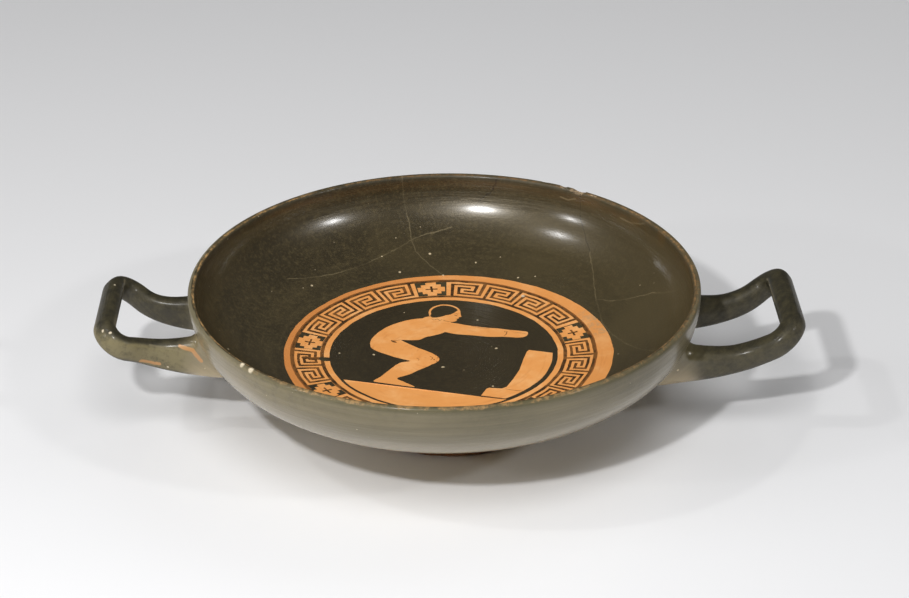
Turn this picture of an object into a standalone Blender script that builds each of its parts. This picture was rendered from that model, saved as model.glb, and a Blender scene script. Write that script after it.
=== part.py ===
"""Greek wine cup (kylix) of fired clay, made in one piece.

A shallow turned bowl stands on a low hollow ring foot. Two loop handles, bent from clay
straps, grow out of opposite sides and turn up towards the lip. Metres, +Z up; the origin
is on the ground, midway between the ends of the handles.
"""
import math

import bmesh
import bpy
from mathutils import Vector

# The bowl: overall sizes, then the two exponents of its outer curve
CUP_HEIGHT = 0.0505
RIM_RADIUS = 0.090
BOWL_DROP = 0.0325
SIDE_FULLNESS = 2.1
FLOOR_FLATNESS = 4.3
LIP_THICKNESS = 0.0026
WALL_THICKNESS = 0.0036
FLOOR_THICKNESS = 0.0042
# The wall has its full thickness from this turn on; the lip is at 0 and the axis at 90 degrees
WALL_FULL_TURN = math.radians(40)
# How far the foot stands to the right of the rim's centre, because the cup dried crooked
LEAN = 0.0018

# The foot: a ring with a rounded edge under a waist, and a well inside it
FOOT_RADIUS = 0.0375
FOOT_EDGE_THICKNESS = 0.0060
FOOT_JOIN_RADIUS = 0.033
FOOT_WAIST_INSET = 0.0030
FOOT_WELL_RADIUS = 0.0265
FOOT_WELL_TAPER = 0.0015
FOOT_WELL_CEILING = 0.0010

# The handles: shared sizes of the strap and of its bends
STRAP_HEIGHT = 0.0108
STRAP_BAR_HEIGHT = 0.0082
STRAP_SQUARENESS = 2.6
HANDLE_CORNER_RADIUS = 0.0058
HANDLE_CORNER_SPAN = 0.0060
HANDLE_STRAIGHT_REACH = 0.085
HANDLE_RISE_POWER = 2.8
HANDLE_SPREAD_POWER = 5.0
ROOT_FLARE_HEIGHT = 0.0055
ROOT_FLARE_WIDTH = 0.0030
ROOT_FLARE_LENGTH = 0.026
ROOT_FLARE_POWER = 1.5
ROOT_DEPTH = 0.008

# Each handle, shaped by hand: side, middle of the bar from the axis, drop of root and bar
# below the lip, half the gap between the arms at the wall and at the bar, how far the corners
# bulge sideways, the strap's width, how far its upper edge leans out of the loop, and how much
# the bar runs askew
HANDLES = {
    "left": dict(side=-1, reach=0.1184, root_drop=0.0202, bar_drop=0.0095, root_gap=0.0158,
                 bar_gap=0.0285, bulge=0.0014, strap=0.0064, lean=math.radians(-4), skew=0.0),
    "right": dict(side=1, reach=0.1208, root_drop=0.0234, bar_drop=0.0101, root_gap=0.0190,
                  bar_gap=0.0240, bulge=0.0004, strap=0.0084, lean=math.radians(9), skew=-0.03),
}

# The chip out of the lip at the back: bearing from +X, and the size of the bite
CHIP_BEARING = math.radians(56)
CHIP_LENGTH = 0.0090
CHIP_DEPTH = 0.0016
CHIP_WIDTH = 0.0046

# Facets
TURN_SEGMENTS = 80
WALL_STEPS = 13
LIP_STEPS = 4
FOOT_STEPS = 5
STRAP_SIDES = 14
ARM_STEPS = 9
CORNER_STEPS = 5
BAR_STEPS = 4
SHARP_ANGLE = math.radians(40)

# How closely the curves are solved: a small turn for slopes, a radius that counts as on the
# axis, halvings of a search, and rounds that settle where a handle's corner begins
SLOPE_TURN = math.radians(0.2)
ON_AXIS = 1e-6
HALVINGS = 40
CORNER_ROUNDS = 8

CLAY_GLOSS = (0.045, 0.036, 0.022, 1.0)
CLAY_GLOSS_ROUGHNESS = 0.28


def smooth(share):
    """Ease from 0 to 1 with level ends."""
    share = min(max(share, 0.0), 1.0)
    return share * share * (3 - 2 * share)


def outer_point(turn):
    """Radius and height of the bowl's outside at a turn, from the lip to the axis."""
    radius = RIM_RADIUS * max(math.cos(turn), 0.0) ** (2 / FLOOR_FLATNESS)
    drop = BOWL_DROP * max(math.sin(turn), 0.0) ** (2 / SIDE_FULLNESS)
    return Vector((radius, CUP_HEIGHT - LIP_THICKNESS / 2 - drop))


def turn_at(radius):
    """The turn at which the bowl's outside has this radius."""
    return math.acos((radius / RIM_RADIUS) ** (FLOOR_FLATNESS / 2))


def wall_at(turn):
    """Wall thickness, which grows from the lip to the side and on to the floor."""
    side = smooth(turn / WALL_FULL_TURN)
    floor = smooth((turn - WALL_FULL_TURN) / (math.pi / 2 - WALL_FULL_TURN))
    return (LIP_THICKNESS + (WALL_THICKNESS - LIP_THICKNESS) * side
            + (FLOOR_THICKNESS - WALL_THICKNESS) * floor)


def wall_point(turn, share):
    """A point in the wall, at a share of its thickness inward from the outside."""
    before = outer_point(max(turn - SLOPE_TURN, 0.0))
    after = outer_point(min(turn + SLOPE_TURN, math.pi / 2))
    along = (after - before).normalized()
    inward = Vector((along.y, -along.x))
    return outer_point(turn) + inward * wall_at(turn) * share


def wall_radius_at(height, share):
    """Radius of the wall at a height, found by halving the turn."""
    low, high = 0.0, math.pi / 2
    for _ in range(HALVINGS):
        middle = (low + high) / 2
        if wall_point(middle, share).y > height:
            low = middle
        else:
            high = middle
    return wall_point(low, share).x


def foot_profile():
    """The foot from the bowl's underside round its edge to the well, and in to the axis."""
    join = outer_point(turn_at(FOOT_JOIN_RADIUS))
    edge = FOOT_EDGE_THICKNESS / 2
    top = Vector((FOOT_RADIUS - edge, FOOT_EDGE_THICKNESS))
    points = []
    for step in range(1, FOOT_STEPS):
        share = step / FOOT_STEPS
        waist = join.lerp(top, share)
        waist.x -= FOOT_WAIST_INSET * math.sin(math.pi * share)
        points.append(waist)
    for step in range(FOOT_STEPS + 1):
        angle = math.pi * (0.5 - step / FOOT_STEPS)
        points.append(Vector((top.x + edge * math.cos(angle), edge + edge * math.sin(angle))))
    ceiling = outer_point(math.pi / 2).y - FOOT_WELL_CEILING
    points.append(Vector((FOOT_WELL_RADIUS, 0.0)))
    points.append(Vector((FOOT_WELL_RADIUS - FOOT_WELL_TAPER, ceiling - FOOT_WELL_TAPER)))
    points.append(Vector((FOOT_WELL_RADIUS - 2 * FOOT_WELL_TAPER, ceiling)))
    points.append(Vector((0.0, ceiling)))
    return points


def lip_profile():
    """The rounded lip, from its inner to its outer side."""
    half = LIP_THICKNESS / 2
    middle = Vector((RIM_RADIUS - half, CUP_HEIGHT - half))
    angles = [math.pi * (1 - step / LIP_STEPS) for step in range(1, LIP_STEPS)]
    return [middle + Vector((math.cos(angle), math.sin(angle))) * half for angle in angles]


def revolve(name, profile, segments):
    """Turn a profile, which starts and ends on the axis, into a closed and leaning body."""
    mesh_edit = bmesh.new()
    rings = []
    for point in profile:
        lean = LEAN * (CUP_HEIGHT - point.y) / CUP_HEIGHT
        if point.x < ON_AXIS:
            rings.append([mesh_edit.verts.new((lean, 0.0, point.y))])
            continue
        ring = []
        for index in range(segments):
            angle = 2 * math.pi * index / segments
            ring.append(mesh_edit.verts.new((lean + point.x * math.cos(angle),
                                             point.x * math.sin(angle), point.y)))
        rings.append(ring)
    for upper, lower in zip(rings, rings[1:]):
        for index in range(segments):
            following = (index + 1) % segments
            corners = []
            for vertex in (upper[index % len(upper)], lower[index % len(lower)],
                           lower[following % len(lower)], upper[following % len(upper)]):
                if vertex not in corners:
                    corners.append(vertex)
            mesh_edit.faces.new(corners)
    return finish_mesh(name, mesh_edit)


def finish_mesh(name, mesh_edit):
    """Turn the faces outward, shade them smooth and put the mesh in an object."""
    bmesh.ops.recalc_face_normals(mesh_edit, faces=mesh_edit.faces)
    mesh = bpy.data.meshes.new(name)
    mesh_edit.to_mesh(mesh)
    mesh_edit.free()
    mesh.shade_smooth()
    mesh.set_sharp_from_angle(angle=SHARP_ANGLE)
    item = bpy.data.objects.new(name, mesh)
    bpy.context.scene.collection.objects.link(item)
    return item


def make_guide(item):
    """Keep a cutter or a guide out of the finished model."""
    item.hide_render = True
    item.display_type = 'WIRE'
    return item


def make_bowl():
    """Bowl and foot as one turned body with a true wall."""
    turns = [math.pi / 2 * step / WALL_STEPS for step in range(WALL_STEPS, -1, -1)]
    inside = [wall_point(turn, 1.0) for turn in turns]
    inside[0].x = 0.0
    last_turn = turn_at(FOOT_JOIN_RADIUS)
    outside = [outer_point(last_turn * step / WALL_STEPS) for step in range(WALL_STEPS + 1)]
    return revolve("cup", inside + lip_profile() + outside + foot_profile(), TURN_SEGMENTS)


def make_core():
    """The space inside the middle of the wall, which trims the handles' roots."""
    top = Vector((RIM_RADIUS - LIP_THICKNESS / 2, CUP_HEIGHT + LIP_THICKNESS))
    wall = [wall_point(math.pi / 2 * step / WALL_STEPS, 0.5) for step in range(WALL_STEPS + 1)]
    wall[-1].x = 0.0
    return make_guide(revolve("core", [Vector((0.0, top.y)), top] + wall, TURN_SEGMENTS))


def bend(handle, distance, change, power):
    """How much of a change along the arm is reached at a distance from the axis, and its slope."""
    run = handle["reach"] - HANDLE_STRAIGHT_REACH
    share = max((distance - HANDLE_STRAIGHT_REACH) / run, 0.0)
    return change * share ** power, change * power * share ** (power - 1) / run


def spread_at(handle, distance):
    """Half the gap between the arms' middle lines at a distance from the axis, and its slope."""
    change, slope = bend(handle, distance, handle["bar_gap"] - handle["root_gap"], HANDLE_SPREAD_POWER)
    return handle["root_gap"] + change, slope


def handle_plan(handle, wall_radius):
    """The loop's middle line seen from above: arm, rounded corner, bar, corner, arm."""
    start = wall_radius - ROOT_DEPTH
    arm_end = handle["reach"] - HANDLE_CORNER_RADIUS
    for _ in range(CORNER_ROUNDS):
        opening = math.atan(spread_at(handle, arm_end)[1])
        arm_end = handle["reach"] - HANDLE_CORNER_RADIUS * (1 + math.sin(opening))
    half = []
    for step in range(ARM_STEPS):
        distance = start + (arm_end - start) * step / ARM_STEPS
        half.append(Vector((distance, spread_at(handle, distance)[0])))
    corner = Vector((handle["reach"] - HANDLE_CORNER_RADIUS,
                     spread_at(handle, arm_end)[0] - HANDLE_CORNER_RADIUS * math.cos(opening)))
    arc = [(math.pi / 2 + opening) * (1 - step / CORNER_STEPS) for step in range(CORNER_STEPS + 1)]
    half += [corner + Vector((math.cos(angle), math.sin(angle))) * HANDLE_CORNER_RADIUS for angle in arc]
    knuckle = corner + Vector((math.cos(arc[0] / 2), math.sin(arc[0] / 2))) * HANDLE_CORNER_RADIUS
    middle = Vector((handle["reach"], 0.0))
    half += [half[-1].lerp(middle, step / BAR_STEPS) for step in range(1, BAR_STEPS)]
    for point in half:
        point.y += handle["bulge"] * math.exp(-((point - knuckle).length / HANDLE_CORNER_SPAN) ** 2)
    mirrored = [Vector((point.x, -point.y)) for point in reversed(half)]
    return half + [middle] + mirrored


def strap_size(handle, distance, wall_radius):
    """Half the strap's width and height: wide where it joins the wall, slimmer at the bar."""
    share = min(max((distance - wall_radius) / ROOT_FLARE_LENGTH, 0.0), 1.0)
    flare = (1 - share) ** ROOT_FLARE_POWER
    slim = smooth((distance - HANDLE_STRAIGHT_REACH) / (handle["reach"] - HANDLE_STRAIGHT_REACH))
    height = STRAP_HEIGHT + (STRAP_BAR_HEIGHT - STRAP_HEIGHT) * slim + ROOT_FLARE_HEIGHT * flare
    width = handle["strap"] + ROOT_FLARE_WIDTH * flare
    return width / 2, height / 2


def rounded(value):
    """A sine or cosine pushed outward, which turns the strap's oval section squarish."""
    return math.copysign(abs(value) ** (2 / STRAP_SQUARENESS), value)


def make_handle(name, handle):
    """Loft a loop handle along its middle line, with both roots buried in the wall."""
    root_height = CUP_HEIGHT - handle["root_drop"]
    wall_radius = math.sqrt(wall_radius_at(root_height, 0.0) ** 2 - handle["root_gap"] ** 2)
    line = []
    normals = []
    for point in handle_plan(handle, wall_radius):
        rise, slope = bend(handle, point.x, handle["root_drop"] - handle["bar_drop"], HANDLE_RISE_POWER)
        skewed = point.x + handle["skew"] * point.y * bend(handle, point.x, 1.0, HANDLE_RISE_POWER)[0]
        line.append(Vector((handle["side"] * skewed, point.y, root_height + rise)))
        normals.append(Vector((-handle["side"] * slope, 0.0, 1.0)).normalized())
    mesh_edit = bmesh.new()
    rings = []
    for index, (centre, up) in enumerate(zip(line, normals)):
        ahead = line[min(index + 1, len(line) - 1)]
        behind = line[max(index - 1, 0)]
        across = (ahead - behind).cross(up).normalized()
        outward = across * -handle["side"]
        up = (up * math.cos(handle["lean"]) + outward * math.sin(handle["lean"])).normalized()
        across = (ahead - behind).cross(up).normalized()
        half_width, half_height = strap_size(handle, abs(centre.x), wall_radius)
        ring = []
        for side in range(STRAP_SIDES):
            angle = 2 * math.pi * (side + 0.5) / STRAP_SIDES
            sideways = across * half_width * rounded(math.cos(angle))
            upward = up * half_height * rounded(math.sin(angle))
            ring.append(mesh_edit.verts.new(centre + sideways + upward))
        rings.append(ring)
    for near, far in zip(rings, rings[1:]):
        for side in range(STRAP_SIDES):
            following = (side + 1) % STRAP_SIDES
            mesh_edit.faces.new((near[side], near[following], far[following], far[side]))
    mesh_edit.faces.new(rings[0])
    mesh_edit.faces.new(reversed(rings[-1]))
    return make_guide(finish_mesh(name, mesh_edit))


def make_chip():
    """The flake that is lost from the top of the lip, as an egg-shaped cutter."""
    mesh_edit = bmesh.new()
    bmesh.ops.create_icosphere(mesh_edit, subdivisions=2, radius=0.5)
    for vertex in mesh_edit.verts:
        vertex.co.x *= CHIP_WIDTH
        vertex.co.y *= CHIP_LENGTH
        vertex.co.z *= 2 * CHIP_DEPTH
    chip = finish_mesh("lip_chip", mesh_edit)
    middle = RIM_RADIUS - LIP_THICKNESS / 2
    chip.location = (middle * math.cos(CHIP_BEARING), middle * math.sin(CHIP_BEARING), CUP_HEIGHT)
    chip.rotation_euler.z = CHIP_BEARING
    return make_guide(chip)


def boolean(item, other, operation):
    """Join or cut one object with another."""
    step = item.modifiers.new(other.name, 'BOOLEAN')
    step.operation = operation
    step.solver = 'EXACT'
    step.object = other


def fired_clay():
    """Black gloss over fired clay."""
    material = bpy.data.materials.new("black_gloss")
    material.use_nodes = True
    shader = material.node_tree.nodes["Principled BSDF"]
    shader.inputs["Base Color"].default_value = CLAY_GLOSS
    shader.inputs["Roughness"].default_value = CLAY_GLOSS_ROUGHNESS
    shader.inputs["Metallic"].default_value = 0.0
    return material


for old in list(bpy.data.objects):
    bpy.data.objects.remove(old, do_unlink=True)

cup = make_bowl()
core = make_core()
ends = []
for side_name, side_sizes in HANDLES.items():
    handle_item = make_handle("handle_" + side_name, side_sizes)
    boolean(handle_item, core, 'DIFFERENCE')
    boolean(cup, handle_item, 'UNION')
    ends += [vertex.co.x for vertex in handle_item.data.vertices]
boolean(cup, make_chip(), 'DIFFERENCE')
cup.data.materials.append(fired_clay())

# The origin stands midway between the handles' ends, so everything moves over together
frame = bpy.data.objects.new("ground_point", None)
bpy.context.scene.collection.objects.link(frame)
frame.location.x = -(min(ends) + max(ends)) / 2
for item in list(bpy.context.scene.objects):
    if item is not frame:
        item.parent = frame
bpy.context.view_layer.update()
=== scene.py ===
"""An ancient Greek wine cup (kylix): black-gloss fired clay with a round painted floor.

The cup is thrown and luted together as one piece of clay, so it is made here as one closed
mesh: the turned bowl and foot, the two strap handles, the chips in the lip, and the floor
with its painted meander border and picture.
"""

import math
import random

import bmesh
import bpy
import numpy as np
from mathutils import Matrix, Vector, geometry, noise


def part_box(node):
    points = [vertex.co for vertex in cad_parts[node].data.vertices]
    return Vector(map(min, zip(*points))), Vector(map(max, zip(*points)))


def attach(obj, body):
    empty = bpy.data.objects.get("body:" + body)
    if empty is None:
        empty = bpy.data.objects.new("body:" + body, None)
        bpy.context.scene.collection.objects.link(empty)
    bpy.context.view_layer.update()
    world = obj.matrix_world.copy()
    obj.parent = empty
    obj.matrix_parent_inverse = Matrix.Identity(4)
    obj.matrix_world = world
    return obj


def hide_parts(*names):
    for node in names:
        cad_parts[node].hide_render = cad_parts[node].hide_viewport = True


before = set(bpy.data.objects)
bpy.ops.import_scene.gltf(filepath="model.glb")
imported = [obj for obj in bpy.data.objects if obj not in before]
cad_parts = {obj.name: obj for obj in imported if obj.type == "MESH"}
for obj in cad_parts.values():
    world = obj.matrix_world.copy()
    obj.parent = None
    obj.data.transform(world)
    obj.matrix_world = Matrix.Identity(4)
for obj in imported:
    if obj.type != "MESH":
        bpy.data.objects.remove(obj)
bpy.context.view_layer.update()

# The bowl and its foot
# A shallow bowl thrown on the wheel, with a low hollow ring foot turned under it. Wall, lip and
# foot are one closed profile swept round an axis that leans a little, as the cup dried crooked.
CUP_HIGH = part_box("cup")[1]
CUP_HEIGHT = CUP_HIGH.z
RIM_RADIUS = CUP_HIGH.y
BOWL_DROP = 0.0325
SIDE_FULLNESS = 2.1
FLOOR_FLATNESS = 4.3
LIP_THICKNESS = 0.0026
WALL_THICKNESS = 0.0036
FLOOR_THICKNESS = 0.0042
WALL_FULL_TURN = math.radians(40)
LEAN = 0.0018
FOOT_RADIUS = 0.0375
FOOT_EDGE_THICKNESS = 0.0060
FOOT_JOIN_RADIUS = 0.033
FOOT_WAIST_INSET = 0.0030
FOOT_WELL_RADIUS = 0.0265
FOOT_WELL_TAPER = 0.0015
FOOT_WELL_CEILING = 0.0010
# The painted floor is made apart, out to this radius
FLOOR_EDGE = 0.062
SEGMENTS = 288
RING_SPACING = 0.0011
LIP_RING_SPACING = 0.0003
SLOPE_TURN = math.radians(0.2)
QUARTER_STEPS = 2000
ROUND_STEPS = 24


def smooth(share):
    """Ease from 0 to 1 with level ends."""
    share = np.clip(share, 0.0, 1.0)
    return share * share * (3 - 2 * share)


def outer_point(turn):
    """Radius and height of the bowl's outside, for a turn of 0 at the lip to 90 degrees at the axis."""
    radius = RIM_RADIUS * np.maximum(np.cos(turn), 0.0) ** (2 / FLOOR_FLATNESS)
    drop = BOWL_DROP * np.maximum(np.sin(turn), 0.0) ** (2 / SIDE_FULLNESS)
    return np.stack([radius, CUP_HEIGHT - LIP_THICKNESS / 2 - drop], axis=-1)


def turn_at(radius):
    """The turn at which the bowl's outside has this radius."""
    return math.acos((radius / RIM_RADIUS) ** (FLOOR_FLATNESS / 2))


def wall_at(turn):
    """Wall thickness, which grows from the lip to the side and on to the floor."""
    side = smooth(turn / WALL_FULL_TURN)
    floor = smooth((turn - WALL_FULL_TURN) / (math.pi / 2 - WALL_FULL_TURN))
    return (LIP_THICKNESS + (WALL_THICKNESS - LIP_THICKNESS) * side
            + (FLOOR_THICKNESS - WALL_THICKNESS) * floor)


def wall_point(turn, share):
    """Points in the wall, at a share of its thickness inward from the outside."""
    along = (outer_point(np.minimum(turn + SLOPE_TURN, math.pi / 2))
             - outer_point(np.maximum(turn - SLOPE_TURN, 0.0)))
    along /= np.linalg.norm(along, axis=-1, keepdims=True)
    inward = np.stack([along[..., 1], -along[..., 0]], axis=-1)
    return outer_point(turn) + inward * (wall_at(turn) * share)[..., None]


def lean_at(height):
    """How far right of the rim's centre the axis stands at a height."""
    return LEAN * (CUP_HEIGHT - height) / CUP_HEIGHT


def even(points, spacing):
    """The same line with its points at even steps."""
    points = np.asarray(points, dtype=float)
    marks = np.concatenate([[0.0], np.cumsum(np.linalg.norm(np.diff(points, axis=0), axis=1))])
    count = max(int(round(marks[-1] / spacing)), 1)
    steps = np.linspace(0.0, marks[-1], count + 1)
    return np.stack([np.interp(steps, marks, points[:, axis]) for axis in range(2)], axis=-1)


def soften(points, radius, steps=6):
    """A line whose inner corners are rounded off."""
    points = [np.array(point, dtype=float) for point in points]
    line = [points[0]]
    for before, corner, after in zip(points, points[1:], points[2:]):
        start = corner + (before - corner) / np.linalg.norm(before - corner) * radius
        end = corner + (after - corner) / np.linalg.norm(after - corner) * radius
        for share in np.linspace(0.0, 1.0, steps):
            line.append((1 - share) ** 2 * start + 2 * share * (1 - share) * corner + share ** 2 * end)
    return line + [points[-1]]


quarter = np.linspace(0.0, math.pi / 2, QUARTER_STEPS)
INSIDE = wall_point(quarter, 1.0)
INSIDE[-1, 0] = 0.0
OUTSIDE = even(outer_point(quarter[quarter < turn_at(FOOT_JOIN_RADIUS)]), LIP_RING_SPACING)


def floor_height(radius):
    """Height of the bowl's inner surface at a radius from the leaning axis."""
    return np.interp(radius, INSIDE[::-1, 0], INSIDE[::-1, 1])


def round_line(radius, angles, x=0.0, y=0.0):
    """Points round a middle, at these angles."""
    return np.stack([x + radius * np.cos(angles), y + radius * np.sin(angles)], axis=-1)


def foot_profile():
    """The foot from the bowl's underside round its edge to the well, and in to the axis."""
    join = outer_point(np.array(turn_at(FOOT_JOIN_RADIUS)))
    half = FOOT_EDGE_THICKNESS / 2
    top = np.array([FOOT_RADIUS - half, FOOT_EDGE_THICKNESS])
    share = np.linspace(0.0, 1.0, ROUND_STEPS)
    waist = join + (top - join) * share[:, None]
    waist[:, 0] -= FOOT_WAIST_INSET * np.sin(math.pi * share)
    edge = round_line(half, np.linspace(math.pi / 2, -math.pi / 2, ROUND_STEPS), top[0], half)
    ceiling = float(outer_point(np.array(math.pi / 2))[1]) - FOOT_WELL_CEILING
    well = soften([edge[-1], (FOOT_WELL_RADIUS, 0.0),
                   (FOOT_WELL_RADIUS - FOOT_WELL_TAPER, ceiling), (0.0, ceiling)],
                  FOOT_WELL_TAPER / 2)
    return [even(waist, RING_SPACING), even(edge, RING_SPACING / 2), even(well, RING_SPACING)]


def body_profile():
    """The whole closed wall, from the edge of the painted floor over the lip to the foot's axis."""
    half = LIP_THICKNESS / 2
    inside = INSIDE[(INSIDE[:, 0] >= FLOOR_EDGE)][::-1]
    inside = np.concatenate([[[FLOOR_EDGE, floor_height(FLOOR_EDGE)]], inside])
    lip = round_line(half, np.linspace(math.pi, 0.0, ROUND_STEPS), RIM_RADIUS - half, CUP_HEIGHT - half)
    parts = [even(inside, RING_SPACING), even(lip, LIP_RING_SPACING), even(OUTSIDE, RING_SPACING)]
    parts += foot_profile()
    return np.concatenate([parts[0]] + [part[1:] for part in parts[1:]])


def sweep(name, profile, segments):
    """Turn a profile that ends on the axis into a closed body; its first ring is closed flat."""
    angles = np.arange(segments) * 2 * math.pi / segments
    points = []
    for radius, height in profile[:-1]:
        ring = round_line(radius, angles, lean_at(height))
        points.append(np.column_stack([ring, np.full(segments, height)]))
    points.append(np.array([[lean_at(profile[-1][1]), 0.0, profile[-1][1]]]))
    points = np.concatenate(points)
    last = len(points) - 1
    faces = [tuple(range(segments))]
    for ring in range(len(profile) - 2):
        for index in range(segments):
            near, far = ring * segments, (ring + 1) * segments
            following = (index + 1) % segments
            faces.append((near + index, far + index, far + following, near + following))
    for index in range(segments):
        faces.append((last - segments + index, last, last - segments + (index + 1) % segments))
    return outward(name, points, faces)


def put(name, data):
    """An object in the scene."""
    item = bpy.data.objects.new(name, data)
    bpy.context.scene.collection.objects.link(item)
    return item


def finished(name, edit):
    """The mesh of an edit that is done."""
    mesh = bpy.data.meshes.new(name)
    edit.to_mesh(mesh)
    edit.free()
    return mesh


def outward(name, points, faces):
    """A mesh object with its faces turned outward."""
    mesh = bpy.data.meshes.new(name)
    mesh.from_pydata([tuple(point) for point in points], [], faces)
    mesh_edit = bmesh.new()
    mesh_edit.from_mesh(mesh)
    bmesh.ops.recalc_face_normals(mesh_edit, faces=mesh_edit.faces)
    mesh_edit.to_mesh(mesh)
    mesh_edit.free()
    return put(name, mesh)


cup = sweep("cup_body", body_profile(), SEGMENTS)

# The handles
# Two straps of clay bent into loops, luted to opposite sides of the bowl with the joins smeared
# out over the wall. They run out level and then turn up, and no two are quite alike.
STRAP_HEIGHT = 0.0108
STRAP_BAR_HEIGHT = 0.0082
STRAP_SQUARENESS = 2.6
# A hair narrower than the plain solid, whose flats lie inside this rounder section
STRAP_WIDTH_SHARE = 0.98
HANDLE_CORNER_RADIUS = 0.0058
HANDLE_CORNER_SPAN = 0.0060
HANDLE_STRAIGHT_REACH = 0.085
HANDLE_RISE_POWER = 2.8
HANDLE_SPREAD_POWER = 5.0
ROOT_FLARE_HEIGHT = 0.0055
ROOT_FLARE_WIDTH = 0.0030
ROOT_FLARE_LENGTH = 0.026
ROOT_FLARE_POWER = 1.5
ROOT_DEPTH = 0.008
ROOT_FILLET = 0.0034
HANDLES = {
    "left": dict(side=-1, reach=0.1184, root_drop=0.0202, bar_drop=0.0095, root_gap=0.0158,
                 bar_gap=0.0285, bulge=0.0014, strap=0.0064, lean=math.radians(-4), skew=0.0),
    "right": dict(side=1, reach=0.1208, root_drop=0.0234, bar_drop=0.0101, root_gap=0.0190,
                  bar_gap=0.0240, bulge=0.0004, strap=0.0084, lean=math.radians(9), skew=-0.03),
}
STRAP_SIDES = 40
ARM_STEPS = 56
CORNER_STEPS = 22
BAR_STEPS = 16
CORNER_ROUNDS = 8


def bend(handle, distance, change, power):
    """How much of a change along the arm is reached at a distance from the axis, and its slope."""
    run = handle["reach"] - HANDLE_STRAIGHT_REACH
    share = max((distance - HANDLE_STRAIGHT_REACH) / run, 0.0)
    return change * share ** power, change * power * share ** (power - 1) / run


def spread_at(handle, distance):
    """Half the gap between the arms' middle lines at a distance from the axis, and its slope."""
    change, slope = bend(handle, distance, handle["bar_gap"] - handle["root_gap"], HANDLE_SPREAD_POWER)
    return handle["root_gap"] + change, slope


def handle_plan(handle, wall_radius):
    """The loop's middle line seen from above: arm, rounded corner, bar, corner, arm."""
    start = wall_radius - ROOT_DEPTH
    arm_end = handle["reach"] - HANDLE_CORNER_RADIUS
    for _ in range(CORNER_ROUNDS):
        opening = math.atan(spread_at(handle, arm_end)[1])
        arm_end = handle["reach"] - HANDLE_CORNER_RADIUS * (1 + math.sin(opening))
    half = []
    for step in range(ARM_STEPS):
        distance = start + (arm_end - start) * step / ARM_STEPS
        half.append(Vector((distance, spread_at(handle, distance)[0])))
    corner = Vector((handle["reach"] - HANDLE_CORNER_RADIUS,
                     spread_at(handle, arm_end)[0] - HANDLE_CORNER_RADIUS * math.cos(opening)))
    arc = [(math.pi / 2 + opening) * (1 - step / CORNER_STEPS) for step in range(CORNER_STEPS + 1)]
    half += [corner + Vector((math.cos(angle), math.sin(angle))) * HANDLE_CORNER_RADIUS for angle in arc]
    knuckle = corner + Vector((math.cos(arc[0] / 2), math.sin(arc[0] / 2))) * HANDLE_CORNER_RADIUS
    middle = Vector((handle["reach"], 0.0))
    half += [half[-1].lerp(middle, step / BAR_STEPS) for step in range(1, BAR_STEPS)]
    for point in half:
        point.y += handle["bulge"] * math.exp(-((point - knuckle).length / HANDLE_CORNER_SPAN) ** 2)
    mirrored = [Vector((point.x, -point.y)) for point in reversed(half)]
    return half + [middle] + mirrored


def strap_size(handle, distance, wall_radius):
    """Half the strap's width and height: wide where it joins the wall, slimmer at the bar."""
    share = min(max((distance - wall_radius) / ROOT_FLARE_LENGTH, 0.0), 1.0)
    flare = (1 - share) ** ROOT_FLARE_POWER
    slim = float(smooth((distance - HANDLE_STRAIGHT_REACH) / (handle["reach"] - HANDLE_STRAIGHT_REACH)))
    height = STRAP_HEIGHT + (STRAP_BAR_HEIGHT - STRAP_HEIGHT) * slim + ROOT_FLARE_HEIGHT * flare
    width = handle["strap"] * STRAP_WIDTH_SHARE + ROOT_FLARE_WIDTH * flare
    return width / 2, height / 2


def rounded(value):
    """A sine or cosine pushed outward, which turns the strap's oval section squarish."""
    return math.copysign(abs(value) ** (2 / STRAP_SQUARENESS), value)


def wall_gap(points):
    """Distance of points from the bowl's outside, less than zero where they are inside it."""
    flat = np.stack([np.hypot(points[:, 0] - lean_at(points[:, 2]), points[:, 1]), points[:, 2]], axis=-1)
    apart = np.linalg.norm(flat[:, None] - OUTSIDE[None], axis=-1).min(axis=1)
    wall = np.interp(flat[:, 1], OUTSIDE[::-1, 1], OUTSIDE[::-1, 0])
    return np.where(flat[:, 0] < wall, -apart, apart)


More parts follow.
